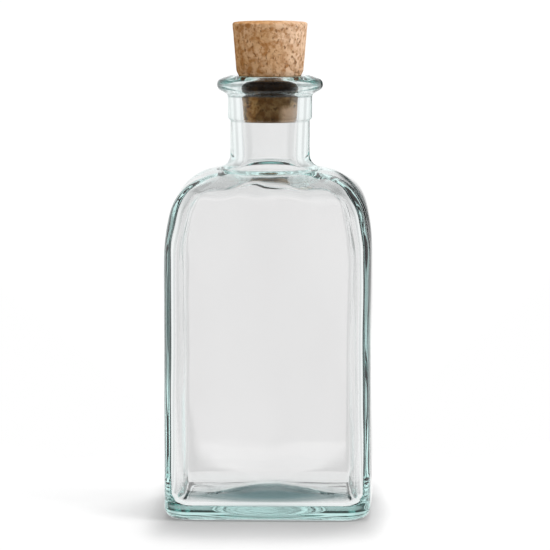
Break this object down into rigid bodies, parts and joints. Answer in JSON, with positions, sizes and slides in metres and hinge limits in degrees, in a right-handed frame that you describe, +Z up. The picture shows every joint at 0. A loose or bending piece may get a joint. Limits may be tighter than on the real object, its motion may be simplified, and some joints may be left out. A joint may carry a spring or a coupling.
{
  "type": "mini glass bottle",
  "caption": "Small square clear glass bottle with rounded corners and shoulder, a round neck with a collar and a flared lip, and a tapered natural cork that lifts out.",
  "frame": {"origin": "middle of the base, on the plane that the bottle stands on", "axes": "+Z up the middle of the neck; X and Y square to the four flat sides, the front side facing -Y"},
  "size_m": [0.061, 0.061, 0.1445],
  "materials": {
    "glass": "clear recycled glass with a faint blue-green tint",
    "cork": "natural cork, matt, with small dark pores"
  },
  "bodies": {
    "bottle": {"glass_bottle": "glass"},
    "stopper": {"cork_stopper": "cork"}
  },
  "joints": [
    {"name": "stopper_lift", "type": "slide", "parent": "bottle", "child": "stopper", "axis": [0, 0, 1], "range_m": [0, 0.04]}
  ]
}
